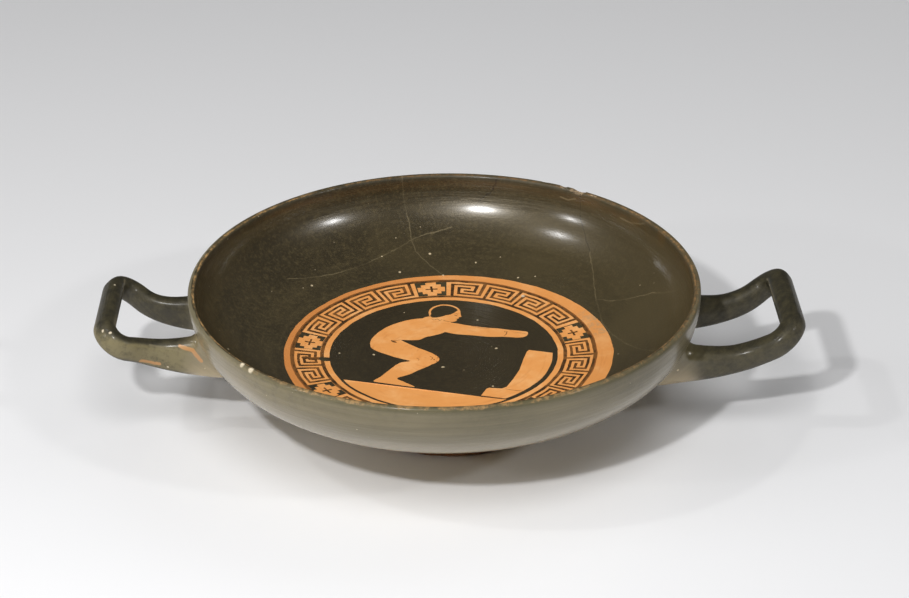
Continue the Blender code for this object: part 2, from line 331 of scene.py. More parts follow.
def make_handle(name, handle):
    """Loft a loop handle along its middle line, with both roots spread into the wall."""
    root_height = CUP_HEIGHT - handle["root_drop"]
    wall = np.interp(root_height, OUTSIDE[::-1, 1], OUTSIDE[::-1, 0])
    wall_radius = math.sqrt(wall ** 2 - handle["root_gap"] ** 2)
    line = []
    normals = []
    for point in handle_plan(handle, wall_radius):
        rise, slope = bend(handle, point.x, handle["root_drop"] - handle["bar_drop"], HANDLE_RISE_POWER)
        skewed = point.x + handle["skew"] * point.y * bend(handle, point.x, 1.0, HANDLE_RISE_POWER)[0]
        line.append(Vector((handle["side"] * skewed, point.y, root_height + rise)))
        normals.append(Vector((-handle["side"] * slope, 0.0, 1.0)).normalized())
    centres = []
    points = []
    for index, (centre, up) in enumerate(zip(line, normals)):
        along = line[min(index + 1, len(line) - 1)] - line[max(index - 1, 0)]
        outside = along.cross(up).normalized() * -handle["side"]
        up = (up * math.cos(handle["lean"]) + outside * math.sin(handle["lean"])).normalized()
        across = along.cross(up).normalized()
        half_width, half_height = strap_size(handle, abs(centre.x), wall_radius)
        for side in range(STRAP_SIDES):
            angle = 2 * math.pi * (side + 0.5) / STRAP_SIDES
            sideways = across * half_width * rounded(math.cos(angle))
            points.append(centre + sideways + up * half_height * rounded(math.sin(angle)))
            centres.append(centre)
    points = np.array([tuple(point) for point in points])
    spokes = points - np.array([tuple(centre) for centre in centres])
    spokes /= np.linalg.norm(spokes, axis=1, keepdims=True)
    short = ROOT_FILLET - np.clip(wall_gap(points), 0.0, ROOT_FILLET)
    points += spokes * (ROOT_FILLET - np.sqrt(ROOT_FILLET ** 2 - short ** 2))[:, None]
    faces = []
    for ring in range(len(line) - 1):
        for side in range(STRAP_SIDES):
            following = (side + 1) % STRAP_SIDES
            near, far = ring * STRAP_SIDES, (ring + 1) * STRAP_SIDES
            faces.append((near + side, near + following, far + following, far + side))
    faces.append(tuple(range(STRAP_SIDES)))
    faces.append(tuple(range(len(points) - STRAP_SIDES, len(points))))
    return outward(name, points, faces)


def combine(item, other, operation):
    """Join or cut one object with another, which is used up."""
    step = item.modifiers.new(other.name, 'BOOLEAN')
    step.operation = operation
    step.solver = 'EXACT'
    step.object = other
    shaped = item.evaluated_get(bpy.context.evaluated_depsgraph_get())
    mesh = bpy.data.meshes.new_from_object(shaped)
    item.modifiers.clear()
    item.data = mesh
    bpy.data.objects.remove(other)


# The space inside the middle of the wall, which trims the handles' roots
CORE_STEPS = 60
middle_wall = wall_point(np.linspace(0.0, math.pi / 2, CORE_STEPS), 0.5)
middle_wall[-1, 0] = 0.0
core_top = np.array([[middle_wall[0, 0], CUP_HEIGHT + LIP_THICKNESS]])
handle_ends = []
for side_name, side_sizes in HANDLES.items():
    strap = make_handle("handle_" + side_name, side_sizes)
    handle_ends += [vertex.co.x for vertex in strap.data.vertices]
    combine(strap, sweep("core", np.concatenate([core_top, middle_wall]), SEGMENTS // 3), 'DIFFERENCE')
    combine(cup, strap, 'UNION')

# Everything so far is centred on the rim; the part's origin is midway between the handles' ends
AXIS_X = -(min(handle_ends) + max(handle_ends)) / 2

# The chips in the lip
# Flakes have come off the lip, the largest beside a mended break at the back, and bare clay
# shows in them. Each is bitten out by a lumpy egg: bearing, length, depth, width, in or out.
CHIPS = [
    (55.2, 0.0062, 0.0016, 0.0040, 0.0),
    (59.6, 0.0032, 0.0009, 0.0030, 0.4),
    (64.6, 0.0050, 0.0004, 0.0020, 0.9),
    (50.6, 0.0040, 0.0004, 0.0018, -0.9),
    (-87.8, 0.0016, 0.0004, 0.0016, 0.9),
    (-98.8, 0.0034, 0.0003, 0.0014, -0.7),
    (-102.4, 0.0022, 0.0003, 0.0012, -0.8),
    (-106.0, 0.0030, 0.0004, 0.0014, -0.7),
    (-139.0, 0.0020, 0.0006, 0.0022, 0.9),
    (-136.0, 0.0022, 0.0006, 0.0024, 0.9),
    (128.0, 0.0046, 0.0003, 0.0018, 0.9),
    (171.0, 0.0030, 0.0004, 0.0018, 0.9),
]
CHIP_LUMPS = 420.0
CHIP_ROUGHNESS = 0.22


def chip_frame(bearing, shift):
    """Where a chip sits on the lip, turned along it."""
    angle = math.radians(bearing)
    radius = RIM_RADIUS - LIP_THICKNESS / 2 + shift * LIP_THICKNESS / 2
    place = Matrix.Translation((radius * math.cos(angle), radius * math.sin(angle), CUP_HEIGHT))
    return place @ Matrix.Rotation(angle, 4, 'Z')


chips = bmesh.new()
for bearing, length, depth, width, shift in CHIPS:
    lump = bmesh.ops.create_icosphere(chips, subdivisions=4, radius=0.5)["verts"]
    scale = Vector((width, length, 2 * depth))
    place = chip_frame(bearing, shift)
    for vertex in lump:
        uneven = noise.noise(Vector(vertex.co) * scale.y * CHIP_LUMPS + Vector((bearing, 0.0, 0.0)))
        vertex.co = place @ (vertex.co * (1 + CHIP_ROUGHNESS * uneven) * scale)
combine(cup, put("chips", finished("chips", chips)), 'DIFFERENCE')

# The painted floor
# The floor keeps the colour of the clay where the painter left it bare of slip: a plain stripe,
# a meander border with cross squares, and a youth who stoops and reaches over a step. Layers
# are laid one over another, in millimetres from the middle of the picture.
GLOSS, CLAY, DARK, WASH_AND_SHADE, BREAK = range(5)
TONDO_X = -0.0005
STRIPE_SHIFT = (1.75, -1.2)
STRIPE_RADIUS = 58.6
BAND_OUTER = 54.2
BAND_INNER = 43.1
RING_OUTER = 42.7
FIELD_RADIUS = 40.7
BAND_WASH = 0.5
BAND_OUTER_LINE = 1.0
BAND_INNER_LINE = 0.9
CELLS = 11
# Bearing of each cross square, and the number of steps from it to the next
CROSS_SQUARES = ((15.7, 5), (94.6, 5), (169.6, 3), (213.0, 6), (306.0, 5))
CROSS_SQUARE_SPAN = math.radians(15)
# In cells: the square's reach, and half the width and height of the pale and dark crosses' steps
SQUARE_REACH = (0.2, 9.8, 1.0, 10.0)
CROSS_MIDDLE = (5.0, 5.5)
PALE_STEPS = ((4.4, 1.5), (3.1, 3.0), (1.6, 4.4))
DARK_STEPS = ((1.9, 0.36), (0.36, 1.9))
KEY_RUNS = ((0, 0, 0, 8), (0, 7, 8, 8), (7, 7, 4, 8), (4, 7, 4, 4))
KEY_DRIFT = 0.1
HAND_SEED = 11
layers = []


def lay(points, paint):
    """Lay a shape over those before it, its points turned to run counter-clockwise."""
    points = np.asarray(points, dtype=float)
    following = np.roll(points, -1, axis=0)
    turning = np.sum(points[:, 0] * following[:, 1] - points[:, 1] * following[:, 0])
    layers.append((points if turning > 0 else points[::-1], paint))


def circle(radius, shift=(0.0, 0.0), points=240):
    """A ring of points."""
    return round_line(radius, np.arange(points) * 2 * math.pi / points, *shift)


def cell_block(middle, span, left, right, low, high):
    """A block of the border's grid: cells run clockwise from a unit's left and outward."""
    step = (BAND_OUTER - BAND_INNER) / CELLS
    count = max(int(math.ceil(right - left)), 1) * 2
    columns = np.linspace(left, right, count + 1)
    angle = middle + span * (0.5 - columns / CELLS)
    return np.concatenate([round_line(BAND_INNER + step * row, turns)
                           for row, turns in ((low, angle), (high, angle[::-1]))])


def meander(middle, span, drift):
    """One key: two hooked lines that run into each other, the second the first turned half round."""
    for left, right, low, high in KEY_RUNS:
        for near, far, bottom, top in ((left, right, low, high),
                                       (9 - right, 9 - left, 10 - high, 10 - low)):
            lay(cell_block(middle, span, near + drift, far + 1 + drift, bottom, top + 1), DARK)


def cross_square(middle, span):
    """A black square with a stepped cross left bare in it and a small dark cross in its middle."""
    lay(cell_block(middle, span, *SQUARE_REACH), GLOSS)
    across, out = CROSS_MIDDLE
    for steps, paint in ((PALE_STEPS, CLAY), (DARK_STEPS, DARK)):
        for wide, high in steps:
            lay(cell_block(middle, span, across - wide, across + wide, out - high, out + high), paint)


lay(circle(STRIPE_RADIUS, STRIPE_SHIFT), CLAY)
lay(circle(BAND_OUTER + BAND_WASH), WASH_AND_SHADE)
lay(circle(BAND_OUTER), DARK)
lay(circle(BAND_OUTER - BAND_OUTER_LINE), CLAY)
hand = random.Random(HAND_SEED)
for index, (bearing, steps) in enumerate(CROSS_SQUARES):
    onward = (CROSS_SQUARES[(index + 1) % len(CROSS_SQUARES)][0] - bearing) % 360 / steps
    cross_square(math.radians(bearing), CROSS_SQUARE_SPAN)
    for step in range(1, steps):
        meander(math.radians(bearing + onward * step), math.radians(onward),
                hand.uniform(-KEY_DRIFT, KEY_DRIFT))
lay(circle(BAND_INNER + BAND_INNER_LINE), DARK)
lay(circle(RING_OUTER), CLAY)
lay(circle(FIELD_RADIUS), GLOSS)

# The picture is drawn upright, u along its ground line and v up, and set a little askew
PICTURE_TILT = math.radians(-16)
GROUND_V = -25.4
GROUND_LINE = 1.2
GROUND_RADIUS = 39.7
GROUND_TURN = math.radians(1.4)
SLAB_RADIUS = 38.9
SLAB_TOP_V = 10.6


def curve(points, closed=True, steps=6):
    """A smooth line through points; it keeps a corner where a point has a third value."""
    spots = [np.array(point[:2], dtype=float) for point in points]
    corners = [len(point) > 2 for point in points]
    count = len(spots)
    slopes = []
    for index in range(count):
        before = spots[index - 1] if closed or index > 0 else spots[index]
        after = spots[(index + 1) % count] if closed or index < count - 1 else spots[index]
        slopes.append((after - before) / 2 * (not corners[index]))
    line = []
    for index in range(count if closed else count - 1):
        following = (index + 1) % count
        start, end = spots[index], spots[following]
        for share in np.arange(steps) / steps:
            cube, square = share ** 3, share ** 2
            line.append((2 * cube - 3 * square + 1) * start + (cube - 2 * square + share) * slopes[index]
                        + (3 * square - 2 * cube) * end + (cube - square) * slopes[following])
    if not closed:
        line.append(spots[-1])
    return np.array(line)


def draw(points, paint):
    """Lay a shape of the picture in its paint."""
    cosine, sine = math.cos(PICTURE_TILT), math.sin(PICTURE_TILT)
    points = np.asarray(points, dtype=float)
    lay(points @ np.array([[cosine, sine], [-sine, cosine]]), paint)


def stroke(points, width, paint):
    """A brush line that thins out to its ends."""
    line = curve(points, closed=False)
    slope = np.gradient(line, axis=0)
    slope /= np.linalg.norm(slope, axis=1, keepdims=True)
    share = np.linspace(0.06, 0.94, len(line))
    side = np.stack([-slope[:, 1], slope[:, 0]], axis=-1) * (np.sin(math.pi * share) ** 0.5)[:, None]
    draw(np.concatenate([line + side * width / 2, (line - side * width / 2)[::-1]]), paint)


def segment_below(radius, height, turn, points=60):
    """The part of a disc under a line that is turned a little from level."""
    reach = math.acos(height / radius)
    return round_line(radius, turn - math.pi / 2 + np.linspace(reach - math.pi, math.pi - reach, points))


# The ground, and the step with its slab, which follows the border's curve
draw(segment_below(GROUND_RADIUS, GROUND_V - GROUND_LINE, GROUND_TURN), CLAY)
slab_angles = np.linspace(math.asin(SLAB_TOP_V / SLAB_RADIUS), math.asin(GROUND_V / SLAB_RADIUS),
                          ROUND_STEPS)
slab_side = [(SLAB_RADIUS * math.cos(angle), SLAB_RADIUS * math.sin(angle)) for angle in slab_angles]
draw([(28.6, 10.8), (28.2, 9.6), (28.4, 4.5), (28.9, -4.0), (28.5, -11.0), (27.7, -17.0), (26.5, -18.6),
      (21.9, -19.3), (21.2, -20.0), (20.7, GROUND_V)] + slab_side[::-1], CLAY)
draw([(20.7, GROUND_V + 0.1), (20.9, GROUND_V - GROUND_LINE + 0.4), (30.2, GROUND_V - GROUND_LINE + 0.6),
      (30.6, GROUND_V + 0.1)], DARK)
stroke([(27.6, -18.6), (31.0, -18.9), (35.2, -19.0)], 0.30, WASH_AND_SHADE)

# The youth: reaching arm, then the body with its thigh, then the lower leg and foot
draw(curve([(-8.0, 23.8), (-3.0, 23.7), (3.0, 23.2), (9.0, 23.1), (14.5, 23.6), (20.0, 23.7),
            (24.2, 23.8), (25.3, 22.2), (24.5, 19.9), (21.5, 18.7), (17.5, 18.2), (13.0, 17.1),
            (7.5, 16.5), (1.7, 15.8), (-3.5, 16.2), (-7.0, 17.0)]), CLAY)
draw(curve([(-8.5, 24.8), (-13.2, 24.9), (-19.5, 21.5), (-24.8, 15.6), (-27.6, 8.6), (-28.1, 2.4),
            (-26.4, -1.8), (-22.6, -4.2), (-16.4, -6.3), (-10.8, -7.4), (-5.8, -8.8), (-2.6, -8.4),
            (-0.5, -5.4), (-1.0, -2.6), (-3.9, -0.4), (-9.4, 2.0), (-14.0, 4.2), (-17.9, 6.4, 1),
            (-14.6, 7.2), (-11.4, 8.4), (-9.8, 10.9), (-7.2, 12.9), (-4.2, 16.2), (-3.2, 20.5),
            (-5.0, 23.9)]), CLAY)
draw(curve([(-10.0, -7.6), (-13.4, -10.0), (-15.4, -15.6), (-17.0, -21.4), (-18.4, -24.6),
            (-18.0, GROUND_V, 1), (-3.2, GROUND_V, 1), (-4.2, -24.5), (-7.6, -22.8), (-11.0, -20.7),
            (-7.6, -16.8), (-5.0, -12.8), (-2.2, -8.2), (-3.2, -5.6), (-7.4, -5.4)]), CLAY)

# The head: neck, face, the bare outline round the hair, then the hair
HEAD_U = -8.4
HEAD_V = 30.6
HEAD_WIDE = 5.8
HEAD_HIGH = 5.9
OUTLINE = 0.8
draw(curve([(-14.6, 24.0), (-13.0, 26.2), (-9.0, 27.4), (-5.2, 26.0), (-4.4, 23.4), (-9.0, 22.0)]), CLAY)
draw(curve([(-4.8, 34.6), (-3.2, 33.2), (-2.4, 31.2), (-1.5, 28.8, 1), (-2.4, 28.2), (-2.1, 27.5),
            (-2.7, 26.9), (-2.4, 26.1), (-3.0, 24.8), (-4.6, 24.3), (-7.2, 24.8), (-9.8, 26.0),
            (-11.0, 30.0), (-8.4, 34.0)]), CLAY)
hair = []
for wide, high in ((HEAD_WIDE, HEAD_HIGH), (HEAD_WIDE - OUTLINE, HEAD_HIGH - OUTLINE)):
    angles = np.radians(np.linspace(32, 208, 30))
    hair.append(np.stack([HEAD_U + wide * np.cos(angles), HEAD_V + high * np.sin(angles)], axis=-1))
draw(np.concatenate([hair[0], [(-13.0, 26.6), (-10.6, 26.6), (-7.0, 29.0), (-3.8, 33.0)]]), CLAY)
draw(np.concatenate([hair[1], [(-12.7, 26.6), (-11.6, 25.6), (-9.9, 26.0), (-8.4, 27.0), (-7.4, 28.4),
                               (-5.9, 29.5), (-4.9, 31.2)]]), GLOSS)
draw(curve([(-7.7, 27.9), (-7.1, 28.7), (-6.4, 28.1), (-6.6, 26.9), (-7.3, 26.7)]), CLAY)

# Thin brown lines inside the figure
for line, width in (
        ([(-4.8, 30.1), (-4.0, 30.6), (-3.2, 30.3)], 0.26),
        ([(-4.4, 29.2), (-3.8, 29.4), (-3.2, 29.1)], 0.40),
        ([(-3.3, 26.9), (-2.9, 26.9), (-2.6, 27.0)], 0.22),
        ([(-7.2, 24.7), (-5.6, 24.3), (-4.2, 24.3)], 0.26),
        ([(-11.6, 24.6), (-10.4, 24.0), (-9.4, 24.9), (-8.4, 24.1), (-7.6, 25.0)], 0.30),
        ([(-17.8, 6.4), (-19.4, 5.6), (-20.6, 4.9)], 0.26),
        ([(-4.4, -2.4), (-2.9, -3.4), (-3.4, -5.0)], 0.26),
        ([(-8.8, -5.0), (-7.6, -5.6), (-7.4, -6.6)], 0.22),
        ([(17.4, 22.6), (17.7, 20.6), (17.3, 18.9)], 0.36),
        ([(16.6, 22.4), (17.0, 21.6)], 0.26),
        ([(20.6, 22.2), (22.8, 22.3), (24.8, 22.0)], 0.20),
        ([(4.0, 23.0), (7.6, 22.5), (11.0, 22.6)], 0.20)):
    stroke(line, width, WASH_AND_SHADE)
draw(curve([(-21.2, 5.4), (-19.9, 5.2), (-18.7, 4.4), (-19.6, 4.0), (-20.8, 4.6)]), DARK)
for spot in ((-1.3, -2.9), (-0.9, -5.6), (-2.4, -1.2), (-2.2, -4.4)):
    draw(np.array(spot) + circle(0.32, points=10), WASH_AND_SHADE)

# A smudge of slip that ran over the border at the left
lay(curve([(-50.4, -3.2), (-48.8, -2.4), (-46.8, -2.9), (-44.6, -2.3), (-42.6, -2.7), (-40.9, -3.0),
           (-41.0, -4.7), (-43.0, -4.9), (-45.0, -4.3), (-46.6, -5.0), (-48.2, -4.4), (-49.4, -5.0)]), DARK)
lay(curve([(-44.2, -2.5), (-42.4, -2.2), (-40.4, -2.7), (-40.4, -4.8), (-42.6, -5.1), (-44.0, -4.3)]), GLOSS)

# The layers become one sheet of triangles, which is then laid on the bowl's floor
MM = 1000
GRID_STEP = 1.7
BRUSH_WOBBLES = ((0.22, 6.0), (0.10, 1.7))
WOBBLE_FADE = 2.5
WOBBLE_APART = Vector((31.7, 17.3, 5.9))
SHEET_MERGE = 1e-4
EDGE_MERGE = 1e-6
HEIGHT_ROUNDS = 3
edge_height = float(floor_height(FLOOR_EDGE))
edge_ring = round_line(FLOOR_EDGE, np.arange(SEGMENTS) * 2 * math.pi / SEGMENTS, lean_at(edge_height))
sheet_points = [Vector(point) for point in (edge_ring - (TONDO_X, 0.0)) * MM]
sheet_faces = [list(range(SEGMENTS))]
for outline_points, paint in layers:
    sheet_faces.append(list(range(len(sheet_points), len(sheet_points) + len(outline_points))))
    sheet_points += [Vector(point) for point in outline_points]
grid = np.arange(-FLOOR_EDGE * MM, FLOOR_EDGE * MM, GRID_STEP)
sheet_middle = Vector(((lean_at(edge_height) - TONDO_X) * MM, 0.0))
for row, grid_v in enumerate(grid):
    for grid_u in grid:
        spot = Vector((grid_u + GRID_STEP / 2 * (row % 2), grid_v))
        if (spot - sheet_middle).length < FLOOR_EDGE * MM - GRID_STEP / 2:
            sheet_points.append(spot)
flat = geometry.delaunay_2d_cdt(sheet_points, [], sheet_faces, 0, SHEET_MERGE, True)
sheet_verts, sheet_triangles, came_from, covered_by = flat[0], flat[2], flat[3], flat[5]
paints = [GLOSS] + [paint for outline_points, paint in layers]
triangle_paints = [paints[max(covers)] if covers else GLOSS for covers in covered_by]


def wobbled(spot, room):
    """Where the painter's hand put a point; it stays put at the sheet's edge."""
    moved = spot.copy()
    share = float(smooth(room / WOBBLE_FADE))
    for size, span in BRUSH_WOBBLES:
        place = Vector((spot.x / span, spot.y / span, 0.0))
        moved.x += size * share * noise.noise(place)
        moved.y += size * share * noise.noise(place + WOBBLE_APART)
    return moved


floor_points = []
for spot, sources in zip(sheet_verts, came_from):
    on_edge = [source for source in sources if source < SEGMENTS]
    if on_edge:
        floor_points.append((*edge_ring[on_edge[0]], edge_height))
        continue
    spot = wobbled(spot, FLOOR_EDGE * MM - (spot - sheet_middle).length)
    x, y = TONDO_X + spot.x / MM, spot.y / MM
    height = edge_height
    for _ in range(HEIGHT_ROUNDS):
        height = float(floor_height(math.hypot(x - lean_at(height), y)))
    floor_points.append((x, y, height))

# The floor takes the place of the flat cover over the bowl's open middle
shell = bmesh.new()
shell.from_mesh(cup.data)
cover = max(shell.faces, key=lambda face: len(face.verts))
rim_of_cover = list(cover.verts)
bmesh.ops.delete(shell, geom=[cover], context='FACES_ONLY')
new_verts = [shell.verts.new(point) for point in floor_points]
for triangle, paint in zip(sheet_triangles, triangle_paints):
    face = shell.faces.new([new_verts[index] for index in triangle])
    face.material_index = paint
edge_verts = [vertex for vertex, sources in zip(new_verts, came_from)
              if any(source < SEGMENTS for source in sources)]
bmesh.ops.remove_doubles(shell, verts=rim_of_cover + edge_verts, dist=EDGE_MERGE)
bmesh.ops.triangulate(shell, faces=[face for face in shell.faces if len(face.verts) > 4])
bmesh.ops.recalc_face_normals(shell, faces=shell.faces)

# The underside
# The resting ring and two bands in the well are left bare of slip; the foot's outer edge, bare clay, takes
# the thinned line's dark brown as painted shade, for the bowl's shadow on it.
SHADED_FOOT_RADIUS = 0.0352
SHADED_FOOT_HEIGHT = 0.0052
RESTING_RING_HEIGHT = 0.0004
WELL_HEIGHT = 0.0135
WELL_BANDS = ((0.0, 0.0022, DARK), (0.0022, 0.0075, CLAY), (0.0075, 0.0088, DARK),
              (0.0088, 0.0125, CLAY), (0.0125, 0.0134, DARK), (0.0134, 0.0178, CLAY))
for face in shell.faces:
    centre = face.calc_center_median()
    if centre.z > BOWL_DROP / 2 or math.hypot(centre.x, centre.y) > FOOT_RADIUS + LEAN:
        continue
    radius = math.hypot(centre.x - lean_at(centre.z), centre.y)
    if centre.z > WELL_HEIGHT:
        for near, far, paint in WELL_BANDS:
            if near <= radius < far:
                face.material_index = paint
    elif centre.z < RESTING_RING_HEIGHT:
        face.material_index = CLAY
    # Painted shade: the foot's outer edge, in the bowl's shadow, is given the thinned line's dark brown
    elif centre.z < SHADED_FOOT_HEIGHT and radius > SHADED_FOOT_RADIUS:
        face.material_index = WASH_AND_SHADE

# Bare clay shows where the lip is chipped
CHIPPED_DEPTH = 0.003
CHIP_REACH = 0.54
SHARP_ANGLE = math.radians(38)
for face in shell.faces:
    centre = face.calc_center_median()
    if centre.z < CUP_HEIGHT - CHIPPED_DEPTH:
        continue
    for bearing, length, depth, width, shift in CHIPS:
        local = chip_frame(bearing, shift).inverted() @ centre
        if Vector((local.x / width, local.y / length, local.z / (2 * depth))).length < CHIP_REACH:
            face.material_index = BREAK
for vertex in shell.verts:
    vertex.co.x += AXIS_X
mesh = finished("cup_body", shell)
mesh.shade_smooth()
mesh.set_sharp_from_angle(angle=SHARP_ANGLE)
cup.data = mesh

# How far each point is outside the middle of the wall, for the finish of inside and outside
spots = np.array([vertex.co for vertex in mesh.vertices], dtype=float)
flat = np.stack([np.hypot(spots[:, 0] - AXIS_X - lean_at(spots[:, 2]), spots[:, 1]), spots[:, 2]], axis=-1)
wall = np.interp(flat[:, 1], middle_wall[::-1, 1], middle_wall[::-1, 0])
is_outside = (flat[:, 0] > wall) | (flat[:, 1] < middle_wall[-1, 1])
outside_value = mesh.attributes.new("outside", 'FLOAT', 'POINT')
outside_value.data.foreach_set("value", is_outside.astype(np.float32))

# The breaks and wear of two and a half thousand years
# The cup was mended from sherds: thin pale seams run through it. White grains and pits are
# scattered over it, and the slip is rubbed through along the lip. All its finishes share these.
SEAMS = [
    [(89.5, 100.5), (86.4, 100.3), (81.2, 99.5), (75.6, 99.5)],
    [(75.6, 99.5), (72.6, 104.6), (70.5, 109.6), (68.1, 117.8), (68.0, 127.8), (73.7, 142.3)],
    [(75.6, 99.5), (77.1, 96.0), (79.4, 87.9)],
    [(75.6, 99.5), (70.7, 98.8), (65.1, 95.9), (57.6, 90.6)],
    [(79.4, 46.9), (73.5, 41.4), (65.2, 31.7)],
    [(65.2, 31.7), (67.3, 28.0), (70.6, 24.9), (75.1, 21.7), (79.5, 18.3), (85.3, 9.3)],
    [(65.2, 31.7), (62.4, 25.6), (59.9, 18.1), (60.7, 8.6)],
    [(60.7, 8.6), (64.2, 0.8), (69.3, -5.5), (77.0, -11.0)],
]
SEAM_WIDTH = 0.29
SEAM_CORE = 0.05
EDGE_WIDTH = 0.50
# The rest are given as x, y and height: edges of flakes, pale lines along the handles' creases and one arm's
# ridge, which are painted highlight and partly wear, and grazes down to the clay
EDGE_AND_HIGHLIGHT_LINES = [
    [(42.1, 75.4, 46.6), (45.0, 73.6, 46.1), (47.6, 72.0, 47.3)],
    [(63.7, 57.7, 46.1), (67.1, 53.5, 46.1), (70.5, 49.1, 47.8), (73.9, 45.6, 50.3)],
    [(-116.3, 17.4, 43.1), (-116.2, 6.8, 41.4)],
    [(114.0, 16.6, 41.3), (114.5, 8.1, 41.3), (114.9, -1.5, 41.5)],
    [(-104.2, -18.6, 36.2), (-100.8, -18.5, 35.3), (-97.3, -18.7, 34.5), (-93.5, -19.1, 33.7)],
    [(24.6, 39.9, 21.8), (23.2, 42.4, 22.0)],
]
GRAZES = [
    [(-93.8, -18.3, 35.5), (-89.3, -19.3, 34.2)],
    [(-89.3, -19.3, 34.2), (-86.6, -20.1, 30.4)],
    [(-107.5, -20.0, 30.6), (-101.4, -19.3, 28.9)],
]
GRAZE_SIZE = 0.85
SPECKS = [
    (-120.0, -19.8, 42.5, 0.60), (-117.4, -21.3, 42.5, 0.60), (-118.9, 10.3, 44.9, 0.45),
    (-98.4, -19.2, 27.7, 0.45), (79.3, -24.3, 27.2, 0.45), (82.9, -20.9, 33.6, 0.45),
    (-68.9, -58.8, 50.2, 1.10), (-65.7, -62.3, 50.2, 1.20), (-77.7, -12.9, 31.1, 0.40),
]
DARK_SEAMS = [
    [(88.5, 74.5), (86.3, 80.1), (82.8, 84.5)],
    [(89.0, 55.0), (85.6, 53.2), (83.9, 51.3), (79.4, 46.9)],
]
DARK_SEAM_WIDTH = 0.16
DARK_SEAM_CORE = 0.02
GRAINS = [
    (69.4, 94.6, 0.62), (61.3, 106.0, 0.62), (70.5, 109.7, 0.42), (67.0, 137.4, 0.60), (67.9, 140.6, 0.36),
    (79.3, 121.8, 0.34), (72.4, 131.9, 0.32), (65.4, 79.6, 0.42), (63.3, 57.8, 0.40), (69.2, 72.4, 0.34),
    (18.8, 13.1, 0.58), (9.3, -94.5, 0.66), (25.5, 179.4, 0.56), (35.0, 115.3, 0.36), (28.1, 65.0, 0.42),
    (28.7, -54.4, 0.48), (37.8, 178.3, 0.40), (51.0, 55.5, 0.8), (60.5, 63.0, 0.45), (57.5, 90.6, 0.50),
]


def plug(value, socket):
    """Link a value to a socket of the tree at hand, or set it there."""
    if isinstance(value, bpy.types.NodeSocket):
        tree.links.new(value, socket)
    else:
        socket.default_value = value


def wire(made, values):
    """Put values or links on a node's inputs."""
    for socket, value in (values or {}).items():
        plug(value, made.inputs[socket])
    return made


def add(kind, values=None, **settings):
    """A node in the tree at hand with its settings, and with values or links on its inputs."""
    made = tree.nodes.new(kind)
    for name, setting in settings.items():
        setattr(made, name, setting)
    return wire(made, values)


def maths(operation, first, second=0.0, third=0.0, clamp=False):
    """The result of one sum."""
    made = add("ShaderNodeMath", {0: first, 1: second, 2: third}, operation=operation, use_clamp=clamp)
    return made.outputs[0]


def times(first, second):
    """One number times another."""
    return maths('MULTIPLY', first, second)


def times_plus(first, second, third, clamp=False):
    """One number times another, with a third added."""
    return maths('MULTIPLY_ADD', first, second, third, clamp)


def larger(first, second):
    """The larger of two numbers."""
    return maths('MAXIMUM', first, second)


def vector_maths(operation, first, second=(0.0, 0.0, 0.0)):
    """The result of one sum of vectors."""
    made = add("ShaderNodeVectorMath", {0: first, 1: second}, operation=operation)
    return made.outputs["Value" if operation in ('LENGTH', 'DOT_PRODUCT', 'DISTANCE') else "Vector"]


def scaled(vector, size):
    """A vector made longer or shorter."""
    return add("ShaderNodeVectorMath", {0: vector, "Scale": size}, operation='SCALE').outputs[0]


def split(vector):
    """The three numbers of a vector."""
    return add("ShaderNodeSeparateXYZ", {0: vector}).outputs


def fade(value, low, high, to_low=0.0, to_high=1.0):
    """A value carried smoothly from one range to another."""
    made = add("ShaderNodeMapRange", {"Value": value, "From Min": low, "From Max": high,
                                      "To Min": to_low, "To Max": to_high},
               interpolation_type='SMOOTHSTEP')
    return made.outputs["Result"]


def mix(share, first, second):
    """One colour over another."""
    made = add("ShaderNodeMix", data_type='RGBA')
    sockets = {item.name: item for item in made.inputs if item.enabled}
    for name, value in (("Factor", share), ("A", first), ("B", second)):
        plug(value, sockets[name])
    return [item for item in made.outputs if item.enabled][0]


def grain(place, scale, detail=3.0, roughness=0.55, output="Fac"):
    """Noise at a place: a number from 0 to 1, or a colour."""
    made = add("ShaderNodeTexNoise", {"Vector": place, "Scale": scale, "Detail": detail,
                                      "Roughness": roughness})
    return made.outputs[output]


def scattered_dots(place, scale, channel, rarity, size):
    """Small round dots, in the cells of a lattice whose chance is over a rarity."""
    cells = add("ShaderNodeTexVoronoi", {"Vector": place, "Scale": scale, "Randomness": 1.0})
    chance = add("ShaderNodeSeparateColor", {"Color": cells.outputs["Color"]}).outputs[channel]
    return maths('LESS_THAN', cells.outputs["Distance"], fade(chance, rarity, 1.0, 0.0, size))


def object_place():
    """The place on the cup, in the part's frame."""
    return add("ShaderNodeTexCoord").outputs["Object"]


def from_axis(place):
    """A place measured level from the cup's axis, and how far from the axis it is."""
    level = vector_maths('MULTIPLY', vector_maths('ADD', place, (-AXIS_X, 0.0, 0.0)), (1.0, 1.0, 0.0))
    return level, vector_maths('LENGTH', level)


def start_group(name, inputs, outputs):
    """A node group with its sockets, and its two end nodes."""
    group = bpy.data.node_groups.new(name, 'ShaderNodeTree')
    for direction, sockets in (('INPUT', inputs), ('OUTPUT', outputs)):
        for label, kind in sockets:
            group.interface.new_socket(label, in_out=direction, socket_type=kind)
    return group, group.nodes.new("NodeGroupInput"), group.nodes.new("NodeGroupOutput")


def place_group(group, values=None):
    """A node that stands for a group."""
    made = tree.nodes.new("ShaderNodeGroup")
    made.node_tree = group
    return wire(made, values)


def plan_spot(radius, bearing):
    """A place on the cup seen from above, in millimetres in the part's frame."""
    angle = math.radians(bearing)
    return (AXIS_X * MM + radius * math.cos(angle), radius * math.sin(angle), 0.0)


def inside_spot(radius, bearing):
    """A place on the bowl's inner surface, in millimetres in the part's frame."""
    x, y, level = plan_spot(radius, bearing)
    return (x, y, float(floor_height(radius / MM)) * MM)


